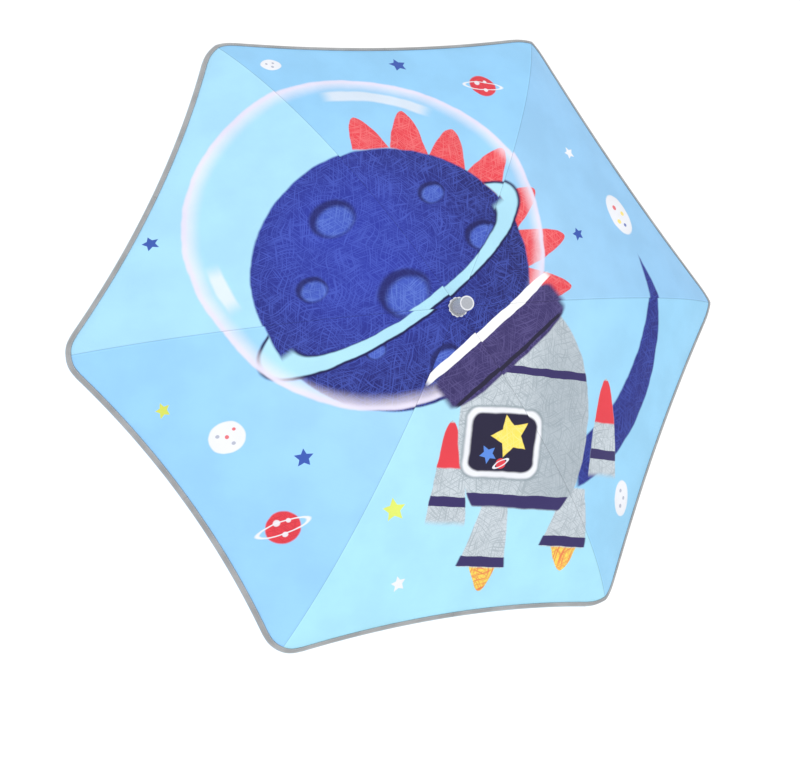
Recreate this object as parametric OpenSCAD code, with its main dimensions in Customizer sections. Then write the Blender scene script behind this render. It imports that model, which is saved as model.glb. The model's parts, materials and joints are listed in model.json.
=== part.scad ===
// Children's stick umbrella, open. Millimetres, +Z up along the shaft.
// The origin is the middle of the handle's grip, on the shaft's axis.
// Rib 1 points along +X, and the others follow every 60 degrees.

/* [Canopy] */
// Height of the cloth's apex above its underside reference, the rib's centreline
cloth_lift = 4.2; // [3.8:0.1:5]
// Thickness of the cloth
cloth_t = 0.8; // [0.6:0.1:1]
// Radius from the axis to the middle of an edge between two corners
edge_mid = 362; // [358:1:366]
// Radius of the inward bow of an edge
edge_bow = 1200; // [1150:10:1400]
// Radius of a rounded corner
corner_round = 38; // [34:1:42]
// Width of the padded binding sewn round the edge
binding_w = 6; // [5.5:0.1:7]
// Thickness of the binding
binding_t = 4.4; // [3.6:0.2:4.6]

/* [Ribs] */
// Radius of the pivots in the crown and in the runner
hub_pivot_r = 10; // [10:0.1:10.5]
// Radius of the joint between a rib, its rod and its stretcher, when open
joint_r = 193.5; // [190:0.5:197]
// Slope of a rib at its joint, in degrees below the horizontal
joint_slope = 15; // [14:0.5:16]
// Slope of a rod at the corner, in degrees below the horizontal
tip_slope = 46; // [44:0.5:47]
// Width of the steel rib channel
rib_w = 3.2; // [3:0.1:3.4]
// Height of the steel rib channel
rib_h = 3.6; // [3.4:0.1:3.8]
// Wall of the steel rib channel
rib_wall = 0.5; // [0.4:0.05:0.5]
// Diameter of a fibreglass rod and of a stretcher's wire
rod_d = 3; // [2.8:0.1:3]

/* [Shaft] */
// Outer diameter of the steel shaft
shaft_d = 8; // [8:0.1:8.2]
// Wall of the shaft's tube
shaft_wall = 0.8; // [0.6:0.1:0.8]
// Height of the rib pivots above the middle of the grip
crown_z = 545; // [540:1:560]
// Distance from the rib pivots down to the runner's pivots, when open
runner_drop = 170; // [166:1:174]
// Length of the runner's sleeve below its pivots
sleeve_len = 36; // [32:1:38]

/* [Handle and cap] */
// Diameter of the plastic J handle
grip_d = 21; // [20:0.5:23]
// Length of the handle's straight grip
grip_len = 100; // [90:1:104]
// Radius of the hook's centreline
hook_r = 31; // [29:0.5:34]
// Diameter of the cap on the top of the shaft
cap_d = 17.2; // [16.5:0.1:18]
// Height of the cap's top above the cloth
cap_rise = 31; // [28:0.5:33]
// Diameter of the scalloped rosette under the cap
rosette_d = 24; // [23:0.5:26]

/* [Hidden] */
$fn = 96;
side_gap = 0.15;            // half the gap between neighbouring pieces of cloth
pin_r = 0.6;                // tie wires of the crown and of the runner
wire_eye_r = 0.85;
rivet_r = 1;
crown_r = 14;
flange_r = 13;
slot_w = rib_w + 0.6;
eye_w = 2.4;                // stretcher's lower eye
sleeve_r = 7.8;
runner_top = 5;
catch_turn = 30;            // the catches face the space between ribs 1 and 2
nose_w = 2.6;
nose_reach = 6.3;
nose_h = 12;
leaf_len = 32;
leaf_x = 2.3;
leaf_t = 0.5;
fork_len = 14;
ear_t = 0.6;
ear_y = rib_w / 2 + 0.25;

sharp_corner = bow_rho(30);
corner_half = 60 - atan(sharp_corner / 2 / edge_bow);
corner_centre = sharp_corner - corner_round / sin(corner_half);
corner_reach = corner_centre + corner_round;
round_until = atan2(corner_round * cos(corner_half), corner_centre + corner_round * sin(corner_half));
rib_arc = (joint_r - hub_pivot_r) / sin(joint_slope);
rod_arc = (corner_reach - joint_r) / (sin(tip_slope) - sin(joint_slope));
joint_drop = rib_arc * (1 - cos(joint_slope));
joint_z = crown_z - joint_drop;
runner_z = crown_z - runner_drop;
cloth_apex = crown_z + cloth_lift;
cap_top = cloth_apex + cap_rise;
shaft_bottom = 12;
shaft_top = cap_top - 12;
collar_top = grip_len / 2 + 13;
stretcher_len = norm([joint_r - hub_pivot_r, joint_z - runner_z]);
stretcher_lean = atan2(joint_z - runner_z, joint_r - hub_pivot_r);
rod_end_r = corner_reach - 16;
upper_nose_z = runner_z - sleeve_len - nose_h - 0.4;
lower_nose_z = 96;

// ---- The curve of the ribs, and the cloth over them ----

// How far a rib's centreline is below the crown's pivots, at radius r.
function rib_fall(r) =
    r <= hub_pivot_r ? 0
    : r <= joint_r ? rib_arc - sqrt(rib_arc ^ 2 - (r - hub_pivot_r) ^ 2)
    : let (q = rod_arc * sin(joint_slope) + r - joint_r)
      joint_drop + rod_arc * cos(joint_slope) - sqrt(rod_arc ^ 2 - q ^ 2);

// Slope of a rod at radius r, in degrees.
function rod_slope(r) = asin(sin(joint_slope) + (r - joint_r) / rod_arc);

// The cloth is straight between two ribs, so its height depends on the rib radius level with it.
function level_r(rho, phi) = rho * cos(30 - abs(phi)) / cos(30);
function cloth_z(rho, phi) = crown_z + cloth_lift - rib_fall(level_r(rho, phi));

// Distance from the axis to the bowed edge, at an angle from the middle of the edge.
function bow_rho(beta) =
    beta < 0.01 ? edge_mid
    : let (t = tan(beta), y = edge_bow / t * (1 - sqrt(1 - 2 * edge_mid * t ^ 2 / edge_bow)))
      y / sin(beta);

// Distance from the axis to the rounded corner, at an angle from the rib.
function round_rho(phi) =
    corner_centre * cos(phi) + sqrt(corner_round ^ 2 - (corner_centre * sin(phi)) ^ 2);

function edge_rho(phi) = abs(phi) < round_until ? round_rho(phi) : bow_rho(30 - abs(phi));

function spot(rho, phi) = [rho * cos(phi), rho * sin(phi), cloth_z(rho, phi)];
function edge_spot(phi) = let (rho = edge_rho(phi)) [rho * cos(phi), rho * sin(phi)];
function unit(v) = v / norm(v);

// A point of the edge moved inward, square to the edge, by a distance.
function inset_spot(phi, by) =
    let (along = unit(edge_spot(min(phi + 0.2, 30)) - edge_spot(max(phi - 0.2, -30))),
         at = edge_spot(phi) + by * [-along[1], along[0]],
         rho = norm(at), a = atan2(at[1], at[0]))
    [at[0], at[1], cloth_z(rho, max(-30, min(30, a)))];

// Angle at a share of the way from one side of a rib's cloth to the other, clear of its neighbours.
function side_angle(share, rho) = share * (30 - asin(side_gap / rho));

// A closed shell round a grid of points. Its thickness is one number, or one for each row.
module shell(grid, thick) {
    rows = len(grid);
    cols = len(grid[0]);
    n = rows * cols;
    half = [for (i = [0:rows - 1]) (is_list(thick) ? thick[i] : thick) / 2];
    top = [for (i = [0:rows - 1]) for (p = grid[i]) p + [0, 0, half[i]]];
    low = [for (i = [0:rows - 1]) for (p = grid[i]) p - [0, 0, half[i]]];
    quads = [for (i = [0:rows - 2]) for (j = [0:cols - 2])
        [i * cols + j, i * cols + j + 1, (i + 1) * cols + j + 1, (i + 1) * cols + j]];
    rim = concat([for (j = [0:cols - 1]) j],
                 [for (i = [1:rows - 1]) i * cols + cols - 1],
                 [for (j = [cols - 2:-1:0]) (rows - 1) * cols + j],
                 [for (i = [rows - 2:-1:1]) i * cols]);
    sides = [for (i = [0:len(rim) - 1])
        let (a = rim[i], b = rim[(i + 1) % len(rim)]) [a, a + n, b + n, b]];
    tri = [for (q = concat([for (q = quads) q], [for (q = quads) [q[3] + n, q[2] + n, q[1] + n, q[0] + n]], sides))
        for (t = [[q[0], q[1], q[2]], [q[0], q[2], q[3]]]) t];
    polyhedron(concat(top, low), [for (t = tri) [t[0], t[1], t[2]]]);
}

// ---- Placing ----

module on_rib(k) {
    rotate([0, 0, 60 * (k - 1)]) children();
}

// An arc of a profile in the plane of a rib, at the radius and slopes of its curve.
// The profile's x is up, and its y is across the rib.
module rib_sweep(arc_r, slope_a, slope_b, foot) {
    translate(foot + arc_r * [-sin(slope_a), 0, -cos(slope_a)])
        rotate([90, 0, 0]) rotate([0, 0, 90 - slope_b])
            rotate_extrude(angle = slope_b - slope_a, $fn = 720)
                translate([arc_r, 0]) children();
}

// A frame at a rib's joint or end: x runs outward down the slope, and z is square to it.
module at_slope(r, slope) {
    translate([r, 0, crown_z - rib_fall(r)]) rotate([0, slope, 0]) children();
}

module across(r, w) {
    rotate([90, 0, 0]) cylinder(r = r, h = w, center = true);
}

// ---- Shaft, cap and crown ----

module shaft() {
    color("gainsboro") difference() {
        translate([0, 0, shaft_bottom]) cylinder(d = shaft_d, h = shaft_top - shaft_bottom);
        translate([0, 0, shaft_bottom - 1])
            cylinder(d = shaft_d - 2 * shaft_wall, h = shaft_top - shaft_bottom + 2);
        for (z = [upper_nose_z, lower_nose_z])
            rotate([0, 0, catch_turn]) translate([0, -nose_w / 2 - 0.3, z - 1])
                cube([shaft_d, nose_w + 0.6, nose_h + 2]);
    }
}

module crown() {
    color("whitesmoke") difference() {
        union() {
            translate([0, 0, crown_z - 6]) cylinder(r = crown_r, h = cloth_lift - cloth_t / 2 + 5.7);
            translate([0, 0, crown_z - 16]) cylinder(r = 6.6, h = 10.5);
        }
        translate([0, 0, crown_z - 17]) cylinder(d = shaft_d, h = 40);
        for (k = [1:6]) on_rib(k)
            translate([7.4, -slot_w / 2, crown_z - 7]) cube([crown_r, slot_w, 9.6]);
        translate([0, 0, crown_z - 0.7]) difference() {
            cylinder(r = crown_r + 1, h = 1.4);
            translate([0, 0, -1]) cylinder(r = hub_pivot_r - pin_r, h = 4);
        }
    }
}

module crown_wire() {
    color("silver") translate([0, 0, crown_z])
        rotate_extrude() translate([hub_pivot_r, 0]) circle(r = pin_r, $fn = 24);
}

module ferrule_cap() {
    base = cloth_apex + 3;
    color("darkgray") difference() {
        union() {
            translate([0, 0, base + 1.2]) cylinder(d = cap_d, h = cap_top - base - 1.2);
            translate([0, 0, base]) cylinder(d1 = cap_d - 2.4, d2 = cap_d, h = 1.2);
        }
        translate([0, 0, base - 1]) cylinder(d = shaft_d, h = shaft_top - base + 1);
        translate([0, 0, cap_top - 0.8]) cylinder(d = cap_d - 3.2, h = 2);
    }
}

module rosette() {
    petals = 12;
    color("whitesmoke") translate([0, 0, cloth_apex + cloth_t / 2 + 0.3]) difference() {
        union() {
            cylinder(d = rosette_d - 4, h = 2.3);
            for (i = [0:petals - 1]) rotate([0, 0, i * 360 / petals])
                translate([rosette_d / 2 - 2.6, 0, 0]) cylinder(r = 2.6, h = 1.5, $fn = 32);
        }
        translate([0, 0, -1]) cylinder(d = shaft_d, h = 5);
    }
}

// ---- Handle ----

module handle() {
    half = grip_len / 2;
    color("royalblue") difference() {
        union() {
            translate([0, 0, -half]) cylinder(d = grip_d, h = grip_len);
            translate([hook_r, 0, -half]) rotate([90, 0, 0]) rotate([0, 0, 180])
                rotate_extrude(angle = 180) translate([hook_r, 0]) circle(d = grip_d);
            translate([2 * hook_r, 0, -half]) cylinder(d = grip_d, h = 12);
            translate([2 * hook_r, 0, 12 - half]) sphere(d = grip_d);
            for (z = [half - 9, half - 4]) translate([0, 0, z])
                rotate_extrude() translate([grip_d / 2, 0]) circle(r = 1.2, $fn = 24);
        }
        translate([0, 0, shaft_bottom]) cylinder(d = shaft_d, h = grip_len);
    }
}

module handle_collar() {
    color("silver") translate([0, 0, grip_len / 2]) difference() {
        union() {
            cylinder(d = grip_d - 2, h = 5);
            translate([0, 0, 5]) cylinder(d1 = grip_d - 2, d2 = shaft_d + 4, h = 8);
        }
        translate([0, 0, -1]) cylinder(d = shaft_d, h = 20);
    }
}

// ---- Catches ----

module catch(nose_z, ledge_up) {
    ledge = nose_z + (ledge_up ? nose_h : 0);
    heel = nose_z + (ledge_up ? 0 : nose_h);
    color("silver") rotate([0, 0, catch_turn]) translate([0, nose_w / 2, 0]) rotate([90, 0, 0])
        linear_extrude(nose_w)
            polygon([[leaf_x, nose_z - leaf_len], [leaf_x + leaf_t, nose_z - leaf_len],
                     [leaf_x + leaf_t, nose_z], each ledge_up
                        ? [[shaft_d / 2, heel], [nose_reach, ledge - 2], [nose_reach, ledge]]
                        : [[nose_reach, ledge], [nose_reach, ledge + 2], [shaft_d / 2, heel]],
                     [leaf_x, nose_z + nose_h]]);
}

module upper_catch() {
    catch(upper_nose_z, true);
}

module lower_catch() {
    catch(lower_nose_z, false);
}

// ---- Runner ----

module runner() {
    color("whitesmoke") difference() {
        translate([0, 0, runner_z]) union() {
            translate([0, 0, -sleeve_len]) cylinder(r = sleeve_r, h = sleeve_len + runner_top);
            translate([0, 0, -4]) cylinder(r = flange_r, h = 8);
            translate([0, 0, -sleeve_len]) cylinder(r = sleeve_r + 1.6, h = 4);
            for (z = [-26, -21, -16, -11]) translate([0, 0, z])
                rotate_extrude() translate([sleeve_r, 0]) circle(r = 0.7, $fn = 24);
        }
        translate([0, 0, runner_z - sleeve_len - 1])
            cylinder(r = shaft_d / 2 + 0.25, h = sleeve_len + runner_top + 2);
        for (k = [1:6]) on_rib(k)
            translate([sleeve_r, -eye_w / 2 - 0.3, runner_z - 5]) cube([flange_r, eye_w + 0.6, 10]);
        translate([0, 0, runner_z - 0.7]) difference() {
            cylinder(r = flange_r + 1, h = 1.4);
            translate([0, 0, -1]) cylinder(r = hub_pivot_r - pin_r, h = 4);
        }
        rotate([0, 0, catch_turn]) translate([0, -nose_w / 2 - 0.3, runner_z - sleeve_len - 1])
            cube([nose_reach + 0.6, nose_w + 0.6, sleeve_len + runner_top + 2]);
    }
}

module runner_wire() {
    color("silver") translate([0, 0, runner_z]) difference() {
        rotate_extrude() translate([hub_pivot_r, 0]) circle(r = pin_r, $fn = 24);
        for (k = [1:6]) on_rib(k)
            translate([5, -eye_w / 2 - 0.3, -2]) cube([10, eye_w + 0.6, 4]);
    }
}

// ---- Ribs, rods and stretchers ----

module channel_profile() {
    h = rib_h / 2;
    w = rib_w / 2;
    polygon([[-h, -w], [h, -w], [h, w], [-h, w], [-h, w - rib_wall], [h - rib_wall, w - rib_wall],
             [h - rib_wall, rib_wall - w], [-h, rib_wall - w]]);
}

module rib(k) {
    start_slope = asin(3 / rib_arc);
    color("silver") on_rib(k) difference() {
        union() {
            rib_sweep(rib_arc, start_slope, joint_slope, [hub_pivot_r + 3, 0, crown_z - rib_fall(hub_pivot_r + 3)])
                channel_profile();
            translate([hub_pivot_r, 0, crown_z]) across(rib_h / 2, rib_w);
            translate([hub_pivot_r, -rib_w / 2, crown_z - rib_h / 2]) cube([6, rib_w, rib_h]);
            at_slope(joint_r, joint_slope) difference() {
                across(rib_h / 2, rib_w);
                cube([8, rib_w - 2 * rib_wall, 8], center = true);
            }
        }
        translate([hub_pivot_r, 0, crown_z]) across(wire_eye_r, rib_w + 2);
        at_slope(joint_r, joint_slope) {
            across(rivet_r, rib_w + 2);
            translate([-2.6, -rib_w / 2 + rib_wall, 0]) cube([8, rib_w - 2 * rib_wall, 8]);
        }
    }
}

module joint_rivet(k) {
    head = rib_w / 2 + 0.25 + ear_t;
    color("silver") on_rib(k) at_slope(joint_r, joint_slope) {
        across(rivet_r, 2 * head + 1);
        for (side = [-1, 1]) translate([0, side * (head + 0.5), 0]) across(1.7, 0.8);
    }
}

module rib_rod(k) {
    neck = 8;
    color("dimgray") on_rib(k) {
        at_slope(joint_r, joint_slope) difference() {
            union() {
                across(1.25, 1.9);
                translate([0, -0.95, -1]) cube([neck + 1, 1.9, 2]);
                translate([neck - 1, 0, 0]) rotate([0, 90, 0]) cylinder(r = 1.8, h = 9);
            }
            across(rivet_r + 0.05, 4);
            translate([neck, 0, 0]) rotate([0, 90, 0]) cylinder(d = rod_d, h = 12);
        }
        rib_sweep(rod_arc, rod_slope(joint_r + neck), rod_slope(rod_end_r),
                  [joint_r + neck, 0, crown_z - rib_fall(joint_r + neck)]) circle(d = rod_d, $fn = 32);
    }
}

module stretcher(k) {
    color("silver") on_rib(k) translate([joint_r, 0, joint_z]) rotate([0, 180 - stretcher_lean, 0])
        difference() {
            union() {
                for (side = [-1, 1]) {
                    translate([0, side * (ear_y + ear_t / 2), 0]) across(2.2, ear_t);
                    translate([0, side * (ear_y + ear_t / 2) - ear_t / 2, -2]) cube([fork_len, ear_t, 4]);
                }
                translate([fork_len - 2, -ear_y - ear_t, -2]) cube([5, 2 * (ear_y + ear_t), 4]);
                translate([fork_len, 0, 0]) rotate([0, 90, 0])
                    cylinder(d = rod_d, h = stretcher_len - fork_len - 2);
                translate([stretcher_len, 0, 0]) across(2, eye_w);
                translate([stretcher_len - 5, -eye_w / 2, -1.5]) cube([5, eye_w, 3]);
            }
            across(rivet_r + 0.05, 12);
            translate([stretcher_len, 0, 0]) across(wire_eye_r, eye_w + 2);
        }
}

module corner_tip(k) {
    boss_r = 2;
    ball_r = 4;
    reach = 22;
    mouth_r = rod_end_r - 14;
    color("whitesmoke") on_rib(k) difference() {
        at_slope(rod_end_r, rod_slope(rod_end_r)) {
            translate([-16, 0, 0]) rotate([0, 90, 0]) cylinder(r = boss_r, h = reach);
            translate([reach - 16, 0, -2.6]) sphere(r = ball_r, $fn = 48);
        }
        rib_sweep(rod_arc, rod_slope(mouth_r), rod_slope(rod_end_r), [mouth_r, 0, crown_z - rib_fall(mouth_r)])
            circle(d = rod_d + 0.06, $fn = 32);
    }
}

// ---- Cloth ----

module canopy_inner(k) {
    r_in = 9;
    r_out = joint_r - 0.2;
    color("lightskyblue") on_rib(k) shell(
        [for (u = [0:6]) let (r = r_in + (r_out - r_in) * u / 6)
            [for (j = [-4:4]) let (rho = r * cos(30) / cos(30 - 30 * abs(j) / 4))
                spot(rho, side_angle(j / 4, rho))]], cloth_t);
}

module canopy_outer(k) {
    r_in = joint_r + 0.2;
    shares = [-1, -0.75, -0.5, -0.3, -0.19, -0.12, -0.08, -0.04, 0, 0.04, 0.08, 0.12, 0.19, 0.3, 0.5, 0.75, 1];
    color("skyblue") on_rib(k) shell(
        [for (u = [0:8])
            [for (s = shares)
                let (rho = r_in * cos(30) / cos(30 - 30 * abs(s)),
                     start = spot(rho, side_angle(s, rho)),
                     end = inset_spot(side_angle(s, edge_mid), binding_w + 0.35),
                     at = start + (end - start) * u / 8)
                [at[0], at[1], cloth_z(norm([at[0], at[1]]), atan2(at[1], at[0]))]]], cloth_t);
}

module edge_binding(k) {
    color("darkgray") on_rib(k) shell(
        [for (share = [1, 0.7, 0.3, 0])
            [for (j = [-24:24]) let (s = sign(j) * (abs(j) / 24) ^ 1.6)
                inset_spot(side_angle(s, edge_mid), share * binding_w)]],
        binding_t * [0.45, 1, 1, 0.45]);
}

// ---- The nodes ----

shaft();
crown();
crown_wire();
ferrule_cap();
rosette();
handle();
handle_collar();
upper_catch();
lower_catch();
runner();
runner_wire();
for (k = [1:6]) {
    rib(k);
    rib_rod(k);
    stretcher(k);
    joint_rivet(k);
    corner_tip(k);
    edge_binding(k);
    canopy_inner(k);
    canopy_outer(k);
}
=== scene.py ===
"""Looks of a child's umbrella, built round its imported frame: cloth, binding, print, plastics and metals."""

import json
import math

import bmesh
import bpy
import numpy as np
from mathutils import Matrix, Vector
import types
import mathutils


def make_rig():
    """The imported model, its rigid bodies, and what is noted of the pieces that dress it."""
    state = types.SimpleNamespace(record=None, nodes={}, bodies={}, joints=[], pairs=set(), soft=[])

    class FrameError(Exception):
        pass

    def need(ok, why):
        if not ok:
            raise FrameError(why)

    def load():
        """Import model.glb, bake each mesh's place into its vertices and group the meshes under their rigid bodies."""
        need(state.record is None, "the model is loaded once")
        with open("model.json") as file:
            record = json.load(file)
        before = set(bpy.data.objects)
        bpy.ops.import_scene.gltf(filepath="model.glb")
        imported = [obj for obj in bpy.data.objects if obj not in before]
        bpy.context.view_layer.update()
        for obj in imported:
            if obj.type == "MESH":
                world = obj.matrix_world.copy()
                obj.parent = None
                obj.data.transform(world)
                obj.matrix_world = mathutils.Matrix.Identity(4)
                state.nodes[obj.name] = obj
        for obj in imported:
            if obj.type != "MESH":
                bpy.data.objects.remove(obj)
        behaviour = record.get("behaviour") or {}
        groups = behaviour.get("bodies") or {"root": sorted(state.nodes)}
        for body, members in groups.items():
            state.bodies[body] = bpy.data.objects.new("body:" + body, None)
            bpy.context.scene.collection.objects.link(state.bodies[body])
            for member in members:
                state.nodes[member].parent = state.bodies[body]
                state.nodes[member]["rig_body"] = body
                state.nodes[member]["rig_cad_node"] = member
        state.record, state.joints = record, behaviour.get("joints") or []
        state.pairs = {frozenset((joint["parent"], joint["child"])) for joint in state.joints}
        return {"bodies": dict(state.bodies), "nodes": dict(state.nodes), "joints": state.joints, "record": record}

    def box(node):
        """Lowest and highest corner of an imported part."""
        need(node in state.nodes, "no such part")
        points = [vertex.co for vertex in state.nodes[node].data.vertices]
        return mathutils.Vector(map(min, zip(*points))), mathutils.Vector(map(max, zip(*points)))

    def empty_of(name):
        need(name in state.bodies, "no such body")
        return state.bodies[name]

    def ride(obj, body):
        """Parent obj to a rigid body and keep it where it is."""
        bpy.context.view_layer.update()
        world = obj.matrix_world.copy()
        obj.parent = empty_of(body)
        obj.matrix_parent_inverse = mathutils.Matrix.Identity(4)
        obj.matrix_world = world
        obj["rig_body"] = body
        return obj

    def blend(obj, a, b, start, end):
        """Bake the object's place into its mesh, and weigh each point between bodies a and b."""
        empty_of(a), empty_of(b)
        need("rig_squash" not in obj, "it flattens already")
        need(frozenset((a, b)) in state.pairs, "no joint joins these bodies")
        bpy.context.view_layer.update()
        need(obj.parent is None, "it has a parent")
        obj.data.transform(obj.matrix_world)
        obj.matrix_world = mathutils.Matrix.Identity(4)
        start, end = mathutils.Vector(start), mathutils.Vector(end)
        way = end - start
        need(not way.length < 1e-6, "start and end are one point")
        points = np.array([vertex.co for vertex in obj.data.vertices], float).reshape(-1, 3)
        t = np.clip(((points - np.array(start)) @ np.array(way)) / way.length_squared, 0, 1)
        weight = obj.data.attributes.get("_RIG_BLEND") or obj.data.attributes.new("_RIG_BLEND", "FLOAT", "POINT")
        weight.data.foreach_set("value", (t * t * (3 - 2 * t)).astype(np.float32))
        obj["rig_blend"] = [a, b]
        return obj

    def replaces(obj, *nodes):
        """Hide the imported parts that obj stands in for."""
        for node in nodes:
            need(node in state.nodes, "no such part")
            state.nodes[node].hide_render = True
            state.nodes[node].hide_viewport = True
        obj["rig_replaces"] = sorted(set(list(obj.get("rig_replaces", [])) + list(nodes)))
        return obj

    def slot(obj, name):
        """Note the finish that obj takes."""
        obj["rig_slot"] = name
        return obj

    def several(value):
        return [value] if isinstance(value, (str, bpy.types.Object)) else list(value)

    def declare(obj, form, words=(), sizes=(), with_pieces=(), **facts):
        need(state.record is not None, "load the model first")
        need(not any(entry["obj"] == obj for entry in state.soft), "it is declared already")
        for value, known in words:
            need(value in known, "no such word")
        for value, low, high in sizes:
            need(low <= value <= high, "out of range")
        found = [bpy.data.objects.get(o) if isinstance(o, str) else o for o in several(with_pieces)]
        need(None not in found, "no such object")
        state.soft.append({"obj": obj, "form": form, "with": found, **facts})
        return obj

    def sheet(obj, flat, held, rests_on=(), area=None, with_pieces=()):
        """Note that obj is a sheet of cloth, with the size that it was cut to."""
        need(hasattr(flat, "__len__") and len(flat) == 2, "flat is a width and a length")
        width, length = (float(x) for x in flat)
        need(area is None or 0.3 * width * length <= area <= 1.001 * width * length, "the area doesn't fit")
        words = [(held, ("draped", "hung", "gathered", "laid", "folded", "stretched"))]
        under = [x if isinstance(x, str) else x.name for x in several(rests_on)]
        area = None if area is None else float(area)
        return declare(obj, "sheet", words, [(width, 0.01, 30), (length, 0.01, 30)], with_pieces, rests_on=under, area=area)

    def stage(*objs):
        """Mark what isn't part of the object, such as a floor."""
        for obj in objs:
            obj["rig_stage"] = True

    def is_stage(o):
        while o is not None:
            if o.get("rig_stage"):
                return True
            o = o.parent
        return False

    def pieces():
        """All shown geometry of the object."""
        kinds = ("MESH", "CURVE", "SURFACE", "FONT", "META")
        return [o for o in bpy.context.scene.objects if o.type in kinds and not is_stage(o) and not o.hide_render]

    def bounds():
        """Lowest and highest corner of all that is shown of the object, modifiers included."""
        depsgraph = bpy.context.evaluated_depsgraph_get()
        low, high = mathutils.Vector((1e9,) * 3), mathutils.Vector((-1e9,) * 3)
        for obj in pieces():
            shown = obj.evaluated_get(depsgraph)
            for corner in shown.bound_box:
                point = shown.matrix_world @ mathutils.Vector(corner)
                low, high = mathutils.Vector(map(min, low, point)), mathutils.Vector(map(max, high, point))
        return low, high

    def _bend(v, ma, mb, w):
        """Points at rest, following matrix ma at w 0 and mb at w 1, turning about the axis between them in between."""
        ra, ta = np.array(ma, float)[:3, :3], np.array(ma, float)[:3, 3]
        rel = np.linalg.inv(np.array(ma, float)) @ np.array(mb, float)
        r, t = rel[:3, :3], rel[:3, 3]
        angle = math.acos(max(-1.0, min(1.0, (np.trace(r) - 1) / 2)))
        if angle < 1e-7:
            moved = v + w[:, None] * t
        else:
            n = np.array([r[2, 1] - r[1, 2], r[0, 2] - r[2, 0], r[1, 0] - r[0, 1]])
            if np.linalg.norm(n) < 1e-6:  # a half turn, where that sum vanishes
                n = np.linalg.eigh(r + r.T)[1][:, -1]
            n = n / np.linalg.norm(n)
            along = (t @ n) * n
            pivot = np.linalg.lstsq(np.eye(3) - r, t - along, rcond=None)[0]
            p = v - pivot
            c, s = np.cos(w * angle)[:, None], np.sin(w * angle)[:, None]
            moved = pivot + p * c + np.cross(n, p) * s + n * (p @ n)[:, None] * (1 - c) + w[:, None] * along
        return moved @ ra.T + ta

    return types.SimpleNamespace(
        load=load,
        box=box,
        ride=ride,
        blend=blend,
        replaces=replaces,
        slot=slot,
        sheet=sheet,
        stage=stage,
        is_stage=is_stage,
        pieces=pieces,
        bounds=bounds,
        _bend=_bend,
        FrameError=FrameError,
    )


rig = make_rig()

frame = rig.load()
CAD_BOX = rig.bounds()
BEHAVIOUR = frame["record"]["behaviour"]
JOINTS = {j["name"]: j for j in frame["joints"]}
RATIOS = {c["joint"]: c["ratio"] for c in BEHAVIOUR["couplings"]}
RIBS = range(1, 7)
MM = 0.001

# The curve of the ribs and the outline of the cloth, in metres and radians, as the CAD has them.
GORE = math.radians(60)
HALF_GORE = GORE / 2
PIVOT = Vector(JOINTS["fold"]["pos_m"])
ELBOW = Vector(JOINTS["rod_1_flex"]["pos_m"])
CLOTH_LIFT = 4.2 * MM
JOINT_SLOPE = math.radians(15)
TIP_SLOPE = math.radians(46)
EDGE_MID = 362 * MM
EDGE_BOW = 1200 * MM
CORNER_ROUND = 38 * MM
CLOTH_TOP = PIVOT.z + CLOTH_LIFT


def bow_rho(beta):
    """Distance from the axis to the bowed edge, at an angle from the middle of the edge."""
    if beta < 1e-4:
        return EDGE_MID
    t = math.tan(beta)
    return EDGE_BOW / t * (1 - math.sqrt(1 - 2 * EDGE_MID * t * t / EDGE_BOW)) / math.sin(beta)


SHARP = bow_rho(HALF_GORE)
CORNER_HALF = math.radians(60) - math.atan(SHARP / 2 / EDGE_BOW)
CORNER_CENTRE = SHARP - CORNER_ROUND / math.sin(CORNER_HALF)
REACH = CORNER_CENTRE + CORNER_ROUND
ROUND_UNTIL = math.atan2(CORNER_ROUND * math.cos(CORNER_HALF),
                         CORNER_CENTRE + CORNER_ROUND * math.sin(CORNER_HALF))
RIB_ARC = (ELBOW.x - PIVOT.x) / math.sin(JOINT_SLOPE)
ROD_ARC = (REACH - ELBOW.x) / (math.sin(TIP_SLOPE) - math.sin(JOINT_SLOPE))
ELBOW_FALL = RIB_ARC * (1 - math.cos(JOINT_SLOPE))


def rib_fall(r):
    """How far the ribs' centreline is below the crown's pivots, at radius r."""
    r = np.asarray(r, float)
    near = RIB_ARC - np.sqrt(RIB_ARC**2 - np.clip(r - PIVOT.x, 0, ELBOW.x - PIVOT.x) ** 2)
    q = ROD_ARC * math.sin(JOINT_SLOPE) + np.clip(r - ELBOW.x, 0, None)
    far = ELBOW_FALL + ROD_ARC * math.cos(JOINT_SLOPE) - np.sqrt(ROD_ARC**2 - q**2)
    return np.where(r <= ELBOW.x, near, far)


def edge_level(share):
    """The rib radius level with the cloth's edge, at a share of the way from a rib to mid-gore."""
    beta = math.atan(math.tan(HALF_GORE) * (1 - share))
    phi = HALF_GORE - beta
    rho = bow_rho(beta)
    if phi < ROUND_UNTIL:
        side = CORNER_CENTRE * math.sin(phi)
        rho = CORNER_CENTRE * math.cos(phi) + math.sqrt(CORNER_ROUND**2 - side**2)
    return rho * math.cos(beta) / math.cos(HALF_GORE)


# ---- How the frame folds ----


def rib_angle(k):
    return GORE * (k - 1)


def turned_by(joint, value):
    at = Vector(joint["pos_m"])
    return Matrix.Translation(at) @ Matrix.Rotation(value, 4, Vector(joint["axis"])) @ Matrix.Translation(-at)


FOLD = math.radians(JOINTS["fold"]["range_deg"][1])


def rib_joint(k):
    return JOINTS["fold" if k == 1 else f"rib_{k}_fold"]


CLOSED_RIB = {k: turned_by(rib_joint(k), FOLD) for k in RIBS}
CLOSED_ROD = {k: CLOSED_RIB[k] @ turned_by(JOINTS[f"rod_{k}_flex"], RATIOS[f"rod_{k}_flex"] * FOLD)
              for k in RIBS}

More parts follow.
